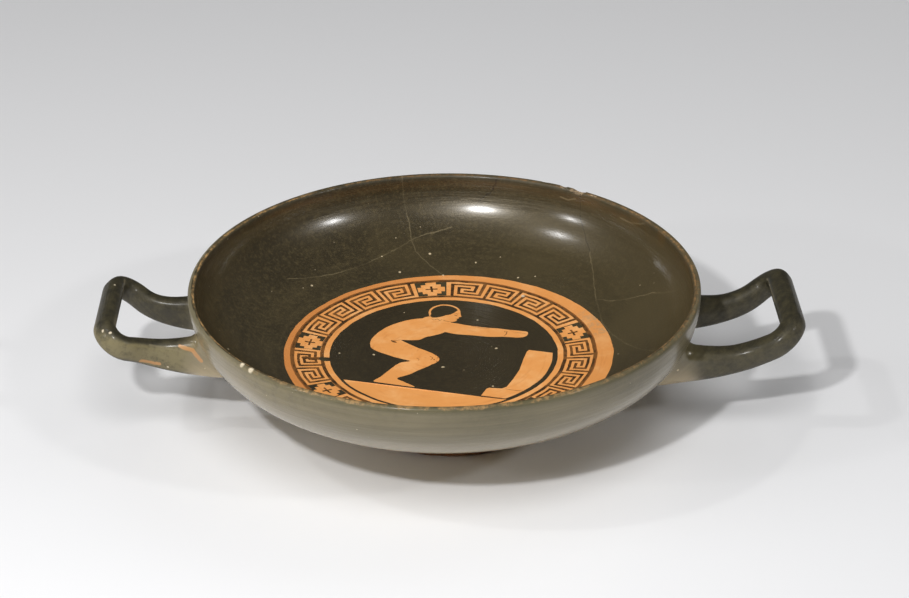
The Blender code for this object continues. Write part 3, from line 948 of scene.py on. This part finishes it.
# Distance of a place from a straight line between two others
VECTOR, FLOAT, COLOR = "NodeSocketVector", "NodeSocketFloat", "NodeSocketColor"
line_group, ends, result = start_group(
    "line_distance", [("Place", VECTOR), ("Start", VECTOR), ("End", VECTOR)], [("Distance", FLOAT)])
tree = line_group
along = vector_maths('SUBTRACT', ends.outputs["End"], ends.outputs["Start"])
apart = vector_maths('SUBTRACT', ends.outputs["Place"], ends.outputs["Start"])
share = maths('DIVIDE', vector_maths('DOT_PRODUCT', apart, along), vector_maths('DOT_PRODUCT', along, along),
              clamp=True)
wire(result, {"Distance": vector_maths('DISTANCE', apart, scaled(along, share))})


def beside_lines(place, lines, width, core):
    """Where a place is nearer than a width to one of many straight lines, and full at the core."""
    nearest = None
    for start, end in lines:
        one = place_group(line_group, {"Place": place, "Start": start, "End": end}).outputs["Distance"]
        nearest = one if nearest is None else maths('MINIMUM', nearest, one)
    return fade(nearest, width, core)


def legs(lines):
    """The straight lines of many bent ones."""
    return [leg for line in lines for leg in zip(line, line[1:])]


def plan_legs(lines):
    """The straight lines of bent ones that are given by radius and bearing."""
    return legs([[plan_spot(*point) for point in line] for line in lines])


# Where the seams and the grains are; noises here are measured in cells to the millimetre
SHAKE_FINENESS = 0.45
SETTLED_SHARE = 0.3
PATCH_FINENESS = 0.16
DUST_FINENESS = 0.20
DUST_RARITY = 0.45
DUST_SIZE = 0.060
DUST_STRENGTH = 0.45
GRAIN_EDGE = 1.15
GRAIN_CORE = 0.5
marks_group, ends, result = start_group(
    "old_marks", [("Place", VECTOR)],
    [("Seam", FLOAT), ("Dark Seam", FLOAT), ("Grain", FLOAT), ("Graze", FLOAT)])
tree = marks_group
millimetres = scaled(ends.outputs["Place"], MM)
shake = vector_maths('SUBTRACT', grain(millimetres, SHAKE_FINENESS, 3.0, 0.6, "Color"), (0.5, 0.5, 0.5))
shaken = vector_maths('ADD', millimetres, shake)
settled = vector_maths('ADD', millimetres, scaled(shake, SETTLED_SHARE))
plan = vector_maths('MULTIPLY', shaken, (1.0, 1.0, 0.0))
patchy = fade(grain(millimetres, PATCH_FINENESS), 0.36, 0.66, 0.25, 1.0)
pale_lines = times(beside_lines(plan, plan_legs(SEAMS), SEAM_WIDTH, SEAM_CORE), patchy)
# The pale lines on the handles' creases and ridge are painted highlight, partly wear, and take the seams'
# pale colour
edge = beside_lines(settled, legs(EDGE_AND_HIGHLIGHT_LINES), EDGE_WIDTH, EDGE_WIDTH / 4)
dark = beside_lines(plan, plan_legs(DARK_SEAMS), DARK_SEAM_WIDTH, DARK_SEAM_CORE)
graze = beside_lines(shaken, GRAZES, GRAZE_SIZE, GRAZE_SIZE / 2)
grains = times(scattered_dots(millimetres, DUST_FINENESS, "Red", DUST_RARITY, DUST_SIZE), DUST_STRENGTH)
spots = [(inside_spot(radius, bearing), size) for radius, bearing, size in GRAINS]
spots += [(speck[:3], speck[3]) for speck in SPECKS]
for spot, size in spots:
    gap = vector_maths('DISTANCE', shaken, spot)
    grains = larger(grains, fade(gap, size * GRAIN_EDGE, size * GRAIN_CORE))
wire(result, {"Seam": larger(pale_lines, edge), "Dark Seam": dark, "Grain": grains, "Graze": graze})

# A finish with the marks laid over it
PALE_SEAM_AND_HIGHLIGHT = (0.20, 0.17, 0.105, 1.0)
GRAZE_TAN = (0.42, 0.22, 0.085, 1.0)
SEAM_DARK = (0.012, 0.010, 0.008, 1.0)
GRAIN_PALE = (0.62, 0.54, 0.40, 1.0)
aged_group, ends, result = start_group(
    "aged_surface",
    [("Color", COLOR), ("Roughness", FLOAT), ("Seam Strength", FLOAT), ("Grain Strength", FLOAT)],
    [("Color", COLOR), ("Roughness", FLOAT)])
tree = aged_group
marks = place_group(marks_group, {"Place": object_place()})
pale_lines = times(marks.outputs["Seam"], ends.outputs["Seam Strength"])
grains = times(marks.outputs["Grain"], ends.outputs["Grain Strength"])
# Pale seams, and the painted highlight along the handles' edges
colour = mix(pale_lines, ends.outputs["Color"], PALE_SEAM_AND_HIGHLIGHT)
colour = mix(marks.outputs["Dark Seam"], colour, SEAM_DARK)
colour = mix(marks.outputs["Graze"], colour, GRAZE_TAN)
colour = mix(grains, colour, GRAIN_PALE)
rough = times_plus(larger(pale_lines, grains), 0.4, ends.outputs["Roughness"], clamp=True)
wire(result, {"Color": colour, "Roughness": rough})

# Small pits in the surface
PIT_FINENESS = 550.0
PIT_RARITY = 0.75
PIT_SIZE = 0.16
PIT_DEPTH = 0.35
pit_group, ends, result = start_group("pitted_surface", [], [("Height", FLOAT)])
tree = pit_group
pits = scattered_dots(object_place(), PIT_FINENESS, "Green", PIT_RARITY, PIT_SIZE)
wire(result, {"Height": times(pits, -PIT_DEPTH)})

# Marks of the wheel and of the wide brush, which run round the axis
wheel_group, ends, result = start_group(
    "wheel_marks", [("Fineness", FLOAT), ("Stretch", FLOAT)], [("Marks", FLOAT)])
tree = wheel_group
place = object_place()
level, radius = from_axis(place)
turned = scaled(vector_maths('NORMALIZE', level), ends.outputs["Stretch"])
climb = times(maths('SUBTRACT', radius, split(place)["Z"]), ends.outputs["Fineness"])
lifted = add("ShaderNodeCombineXYZ", {"Z": climb}).outputs[0]
wire(result, {"Marks": grain(vector_maths('ADD', turned, lifted), 1.0, 4.0, 0.6)})


def wheel_marks(fineness, stretch):
    """Marks of the wheel, across this fine and stretched this little round the cup."""
    return place_group(wheel_group, {"Fineness": fineness, "Stretch": stretch}).outputs["Marks"]


def start_material(name):
    """A material with its shader node."""
    material = bpy.data.materials.new(name)
    material.use_nodes = True
    return material, material.node_tree, material.node_tree.nodes["Principled BSDF"]


def finish_material(shader, colour, roughness, pale_line_strength, grain_strength, relief, depth):
    """Age a finish, and give its relief to the shader."""
    aged = place_group(aged_group, {"Color": colour, "Roughness": roughness,
                                    "Seam Strength": pale_line_strength, "Grain Strength": grain_strength})
    height = maths('ADD', place_group(pit_group).outputs["Height"], relief)
    bump = add("ShaderNodeBump", {"Height": height, "Distance": depth, "Strength": 1.0})
    wire(shader, {"Base Color": aged.outputs["Color"], "Roughness": aged.outputs["Roughness"],
                  "Normal": bump.outputs["Normal"]})


# The black gloss
# A fine iron-rich slip, brushed on and fired to a dark olive black with a soft metallic shine.
# It is browner to the right, olive outside with a painted reflection of the table low down, and worn through
# to the clay at the lip.
GLOSS_DEEP = (0.030, 0.025, 0.0140, 1.0)
GLOSS_OLIVE = (0.068, 0.056, 0.029, 1.0)
GLOSS_FIELD = (0.019, 0.015, 0.008, 1.0)
GLOSS_OUTSIDE = (0.094, 0.083, 0.041, 1.0)
GLOSS_OUTSIDE_REFLECTION = (0.410, 0.350, 0.240, 1.0)
GLOSS_HANDLE = (0.018, 0.0165, 0.0098, 1.0)
GLOSS_HANDLE_WORN = (0.050, 0.043, 0.022, 1.0)
GLOSS_HANDLE_SIDE_REFLECTION = (0.195, 0.165, 0.083, 1.0)
GLOSS_OCHRE = (0.15, 0.085, 0.028, 1.0)
GLOSS_SHINE = (1.0, 0.93, 0.80, 1.0)
LIP_GOLD = (0.48, 0.29, 0.115, 1.0)
LIP_BROWN = (0.17, 0.095, 0.040, 1.0)
# Where the slip changes: from one place to another, in metres
OLIVE_X = (-0.02, 0.085)
FIELD_EDGE = (0.044, 0.041)
SHADED_NEAR_Y = (0.004, -0.030)
OCHRE_X = (0.030, 0.065)
OCHRE_Z = (0.0425, 0.0490)
REFLECTED_TABLE_Z = (0.032, 0.018)
LEFT_WALL_X = (-0.030, -0.085)
FRONT_ARM_Y = (-0.006, -0.016)
REFLECTING_ARM_X = (0.05, -0.09)
HANDLE_START = (0.0925, 0.1005)
CREST_Z = (CUP_HEIGHT - 0.0008, CUP_HEIGHT - 0.0003)
NEAR_CREST_Z = (CUP_HEIGHT - 0.0030, CUP_HEIGHT - 0.0010)
LIP_LINE_RADIUS = RIM_RADIUS - LIP_THICKNESS * 0.74
LIP_LINE_WIDTH = (0.00050, 0.00022)
LIP_MOTTLED_X = (0.035, 0.075)
LIP_RUBBED_Y = (-0.055, -0.080)
LIP_BROWN_X = (-0.080, -0.020)
LIP_GOLD_X = (0.040, 0.080)
LIP_GOLD_Y = (-0.050, -0.080)
RELIEF_DEPTH = 0.00005
# How fine the noises are, in cells to the metre; the wheel's marks also have their stretch
CLOUD_FINENESS = 28.0
OCHRE_FINENESS = 95.0
BROKEN_FINENESS = 110.0
BLOTCH_FINENESS = 170.0
LIP_FINENESS = 190.0
DAUB_FINENESS = 300.0
DAB_FINENESS = 420.0
SPECKLE_FINENESS = 900.0
WHEEL_FINE = (900.0, 2.6)
WHEEL_BROAD = (160.0, 1.6)
WHEEL_BANDS = (420.0, 1.4)
gloss, tree, shader = start_material("black_gloss")
place = object_place()
x, y, z = split(place)
outside = add("ShaderNodeAttribute", attribute_name="outside").outputs["Fac"]
radius = from_axis(place)[1]
wheel = wheel_marks(*WHEEL_FINE)
broad = wheel_marks(*WHEEL_BROAD)
clouds = grain(place, CLOUD_FINENESS)
speckle = grain(place, SPECKLE_FINENESS, 3.0, 0.7)
olive = times_plus(fade(x, *OLIVE_X), 0.65, times(fade(clouds, 0.42, 0.7), 0.45), clamp=True)
inner = mix(olive, GLOSS_DEEP, GLOSS_OLIVE)
streaks = times(fade(broad, 0.42, 0.70), 0.35)
streaks = times_plus(fade(wheel, 0.46, 0.72), 0.30, streaks)
streaks = times_plus(fade(grain(place, DAB_FINENESS, 5.0, 0.72), 0.48, 0.66), 0.55, streaks)
streaks = times_plus(fade(speckle, 0.48, 0.70), 0.75, streaks, clamp=True)
inner = mix(streaks, inner, GLOSS_OLIVE)
# Darker in the picture's field, and darker low on the near side: painted shade, where the front of the bowl
# shades the floor
dark_field_and_shade = larger(fade(radius, *FIELD_EDGE), times(fade(y, *SHADED_NEAR_Y), 0.9))
inner = mix(times(dark_field_and_shade, 0.60), inner, GLOSS_FIELD)
ochre = times(fade(x, *OCHRE_X), fade(z, *OCHRE_Z))
ochre = times(ochre, fade(grain(place, OCHRE_FINENESS, 4.0), 0.47, 0.64))
inner = mix(times(ochre, 0.34), inner, GLOSS_OCHRE)
# Outside, the colour turns pale towards the foot, a painted reflection of the pale table, and paler to the
# left; the wheel's bands show in it
table_reflection_and_bands = maths('ADD', fade(z, *REFLECTED_TABLE_Z), times(fade(x, *LEFT_WALL_X), 0.25))
table_reflection_and_bands = times_plus(fade(wheel_marks(*WHEEL_BANDS), 0.42, 0.70), 0.14, table_reflection_and_bands, clamp=True)
outer = mix(table_reflection_and_bands, GLOSS_OUTSIDE, GLOSS_OUTSIDE_REFLECTION)
# The handles are blacker, with worn daubs; the sides of the front arms, most at the left, are paler, a
# painted reflection of the pale table
blotches = grain(place, BLOTCH_FINENESS, 5.0, 0.65)
daubs = grain(place, DAUB_FINENESS, 6.0, 0.75)
handle = mix(fade(daubs, 0.36, 0.68), GLOSS_HANDLE, GLOSS_HANDLE_WORN)
facing = split(add("ShaderNodeNewGeometry").outputs["Normal"])["Z"]
front_arm_reflection = times(fade(y, *FRONT_ARM_Y), fade(x, *REFLECTING_ARM_X, 0.06, 0.80))
front_arm_reflection = times(front_arm_reflection, fade(daubs, 0.34, 0.54, 0.48, 1.0))
front_arm_reflection = times(front_arm_reflection, fade(maths('ABSOLUTE', facing), 0.75, 0.35))
handle = mix(front_arm_reflection, handle, GLOSS_HANDLE_SIDE_REFLECTION)
on_handle = fade(times_plus(clouds, 0.010, radius), *HANDLE_START)
outer = mix(on_handle, outer, handle)
colour = mix(outside, inner, outer)
# The lip's worn edge is a thin golden line at the left and the front, brown and broken elsewhere
lip_noise = maths('SUBTRACT', grain(place, LIP_FINENESS, 5.0, 0.65), 0.5)
crest = fade(times_plus(lip_noise, 0.0022, z), *CREST_Z)
beside = maths('ABSOLUTE', maths('SUBTRACT', radius, LIP_LINE_RADIUS))
line = fade(times_plus(lip_noise, 0.0016, beside), *LIP_LINE_WIDTH)
line = times(line, fade(grain(place, BROKEN_FINENESS, 4.0), 0.36, 0.56, 0.25, 1.0))
mottled = times(fade(x, *LIP_MOTTLED_X), fade(speckle, 0.42, 0.60))
rubbed = times(fade(y, *LIP_RUBBED_Y), fade(blotches, 0.38, 0.56))
worn = times(crest, larger(line, times(larger(mottled, rubbed), 0.75)))
lip_colour = mix(fade(x, *LIP_BROWN_X), LIP_GOLD, LIP_BROWN)
lip_colour = mix(fade(x, *LIP_GOLD_X, 0.0, 0.30), lip_colour, LIP_GOLD)
lip_colour = mix(fade(y, *LIP_GOLD_Y, 0.0, 0.60), lip_colour, LIP_GOLD)
flecks = fade(grain(place, DAB_FINENESS, 4.0, 0.7), 0.42, 0.58, 0.85, 0.0)
lip_colour = mix(flecks, lip_colour, GLOSS_OLIVE)
colour = mix(worn, colour, lip_colour)
rough = fade(wheel, 0.3, 0.75, 0.32, 0.46)
rough = times_plus(fade(speckle, 0.45, 0.75), 0.06, rough)
rough = times_plus(on_handle, times_plus(blotches, 0.26, 0.08), rough)
on_crest = fade(z, *NEAR_CREST_Z)
rough = times_plus(larger(worn, times(on_crest, 0.6)), 0.30, rough, clamp=True)
coat = times_plus(larger(on_handle, on_crest), -0.78, 0.95)
wire(shader, {"Coat Weight": coat, "Coat Roughness": 0.20, "Coat IOR": 1.6, "Coat Tint": GLOSS_SHINE,
              "Specular IOR Level": 0.7, "Specular Tint": GLOSS_SHINE})
relief = times_plus(speckle, 1.3, times_plus(wheel, 5.0, times(broad, 2.0)))
relief = times_plus(on_handle, times(blotches, 3.0), relief)
finish_material(shader, colour, rough, 0.55, 0.9, relief, RELIEF_DEPTH)

# The bare clay
# Where no slip was laid the clay fired bright orange, a little mottled, under a thin reddish
# wash that the brush left streaky.
CLAY_ORANGE = (0.76, 0.325, 0.092, 1.0)
CLAY_PALE = (0.82, 0.41, 0.15, 1.0)
CLAY_DEEP = (0.55, 0.200, 0.050, 1.0)
CLAY_DUSTY = (0.50, 0.29, 0.135, 1.0)
CLAY_DEEP_RADIUS = (0.0530, 0.0545)
CLAY_DEEP_X = (0.035, -0.045)
FLAKED_PLACE = (0.0560, 0.0190, 0.0236)
FLAKED_REACH = (0.0190, 0.0110)
MOTTLE_FINENESS = 120.0
CLAY_STREAKS = (700.0, 3.0)
clay, tree, shader = start_material("bare_clay")
place = object_place()
mottle = grain(place, MOTTLE_FINENESS, 5.0, 0.6)
colour = mix(fade(mottle, 0.45, 0.72), CLAY_ORANGE, CLAY_PALE)
colour = mix(times(fade(wheel_marks(*CLAY_STREAKS), 0.52, 0.74), 0.45), colour, CLAY_DEEP)
border = fade(from_axis(place)[1], *CLAY_DEEP_RADIUS)
leftward = fade(split(place)["X"], *CLAY_DEEP_X, 0.25, 0.75)
colour = mix(times(border, leftward), colour, CLAY_DEEP)
# The wash has flaked off the stripe at the right
gap = vector_maths('DISTANCE', place, FLAKED_PLACE)
flaked = times(fade(times_plus(mottle, 0.010, gap), *FLAKED_REACH), border)
flaked = times(flaked, fade(grain(place, DAB_FINENESS, 4.0, 0.7), 0.40, 0.62))
colour = mix(times(flaked, 0.8), colour, CLAY_DUSTY)
wire(shader, {"Specular IOR Level": 0.35})
rough = fade(mottle, 0.3, 0.7, 0.42, 0.58)
finish_material(shader, colour, rough, 0.30, 0.8, times(mottle, 0.8), RELIEF_DEPTH)

# The painted lines
# The border's lines are the same slip put on with a finer brush, brown where it is thin; the
# lines inside the figure are the slip let down with water.
DARK_FULL = (0.050, 0.025, 0.009, 1.0)
DARK_THIN = (0.190, 0.078, 0.020, 1.0)
WASH_AND_SHADE_BROWN = (0.27, 0.095, 0.024, 1.0)
LINE_FINENESS = 260.0
LINE_DEPTH = 0.00004
line_materials = []
# The thinned line's brown also stands on the foot's outer edge as painted shade, for the bowl's shadow there
for name, full in (("dark_line", DARK_FULL), ("thinned_line_and_foot_shade", WASH_AND_SHADE_BROWN)):
    material, tree, shader = start_material(name)
    line_materials.append(material)
    body = grain(object_place(), LINE_FINENESS, 4.0, 0.6)
    colour = mix(fade(body, 0.38, 0.62), full, DARK_THIN)
    rough = fade(body, 0.3, 0.7, 0.34, 0.46)
    finish_material(shader, colour, rough, 0.3, 0.8, times(body, 0.4), LINE_DEPTH)

# The fresh-broken clay in the chips
# Inside a chip the clay is dull, from tan to the dark brown of old glue and dirt.
BREAK_PALE = (0.40, 0.29, 0.17, 1.0)
BREAK_DARK = (0.15, 0.11, 0.07, 1.0)
CRUMB_FINENESS = 600.0
CRUMB_DEPTH = 0.0002
chipped, tree, shader = start_material("chipped_clay")
crumbs = grain(object_place(), CRUMB_FINENESS, 4.0, 0.6)
colour = mix(fade(crumbs, 0.38, 0.62), BREAK_DARK, BREAK_PALE)
finish_material(shader, colour, 0.75, 0.0, 1.0, crumbs, CRUMB_DEPTH)

for material in (gloss, clay, *line_materials, chipped):
    mesh.materials.append(material)
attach(cup, "root")
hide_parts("cup")

# The table
# A plain pale sheet under the cup, which is not part of it.
FLOOR_SIZE = 8.0
FLOOR_PALE = (0.80, 0.80, 0.81, 1.0)
sheet = bmesh.new()
bmesh.ops.create_grid(sheet, x_segments=1, y_segments=1, size=FLOOR_SIZE / 2)
table = put("table_sheet", finished("table_sheet", sheet))
material, tree, shader = start_material("pale_sheet")
wire(shader, {"Base Color": FLOOR_PALE, "Roughness": 0.7})
table.data.materials.append(material)

# The light
# A small main light at the front left and small ones at both sides, which show in the gloss, with
# wide soft ones round a dim room, which don't. Bearings are from the front, positive to the
# right; heights are angles above the table.
LIGHTS = {
    "main": dict(bearing=-20.6, height=43.1, distance=0.84, size=0.045, power=3.6),
    "right": dict(bearing=60.5, height=33.5, distance=1.8, size=0.12, power=4.3),
    "left_low": dict(bearing=-65.3, height=23.2, distance=1.7, size=0.09, power=2.5),
    "left_high": dict(bearing=-76.5, height=51.2, distance=1.7, size=0.09, power=2.4),
    "far_left": dict(bearing=-122, height=6, distance=1.7, size=0.20, power=0.9),
    "front_wide": dict(bearing=0, height=60, distance=1.8, size=1.0, power=14.0),
    "left_wide": dict(bearing=-80, height=35, distance=1.8, size=1.0, power=5.6),
    "back_wide": dict(bearing=130, height=45, distance=1.8, size=1.2, power=4.2),
}
SEEN_IN_GLOSS = 0.5
ROOM_WHITE = (1.0, 1.0, 1.0, 1.0)
ROOM_STRENGTH = 0.005
ROOM_REFLECTED = 0.06
ROOM_SEEN = 0.60
for name, light in LIGHTS.items():
    lamp = bpy.data.lights.new(name, 'AREA')
    lamp.shape = 'DISK'
    lamp.size = light["size"]
    lamp.energy = light["power"]
    item = put("light_" + name, lamp)
    bearing, height = math.radians(light["bearing"]), math.radians(light["height"])
    away = Vector((math.sin(bearing) * math.cos(height), -math.cos(bearing) * math.cos(height),
                   math.sin(height)))
    item.location = away * light["distance"]
    item.rotation_euler = away.to_track_quat('Z', 'Y').to_euler()
    item.visible_glossy = light["size"] < SEEN_IN_GLOSS
world = bpy.data.worlds.new("room")
world.use_nodes = True
tree = world.node_tree
rays = add("ShaderNodeLightPath").outputs
strength = times_plus(rays["Is Glossy Ray"], ROOM_REFLECTED - ROOM_STRENGTH, ROOM_STRENGTH)
strength = times_plus(rays["Is Camera Ray"], ROOM_SEEN - ROOM_STRENGTH, strength)
wire(tree.nodes["Background"], {"Color": ROOM_WHITE, "Strength": strength})
bpy.context.scene.world = world
bpy.context.scene.view_settings.view_transform = 'Standard'

# The camera
# A long lens from above the front edge of the table, turned a hair about its own axis.
CAMERA_AIM = Vector((0.0019, 0.0, 0.0432))
CAMERA_DISTANCE = 0.95
CAMERA_ELEVATION = math.radians(27.75)
CAMERA_ROLL = math.radians(-0.587)
CAMERA_LENS = 106.64
CAMERA_FILM = 36.0
camera = bpy.data.cameras.new("camera")
camera.lens = CAMERA_LENS
camera.sensor_width = CAMERA_FILM
camera.sensor_fit = 'HORIZONTAL'
camera_item = put("camera", camera)
back = Vector((0.0, -math.cos(CAMERA_ELEVATION), math.sin(CAMERA_ELEVATION)))
level_up = Vector((0.0, math.sin(CAMERA_ELEVATION), math.cos(CAMERA_ELEVATION)))
right = Vector((math.cos(CAMERA_ROLL), 0.0, 0.0)) + level_up * math.sin(CAMERA_ROLL)
up = level_up * math.cos(CAMERA_ROLL) - Vector((math.sin(CAMERA_ROLL), 0.0, 0.0))
turned = Matrix((right, up, back)).transposed().to_4x4()
camera_item.matrix_world = Matrix.Translation(CAMERA_AIM + back * CAMERA_DISTANCE) @ turned
bpy.context.scene.camera = camera_item

# Bring the scene up to date
bpy.context.view_layer.update()
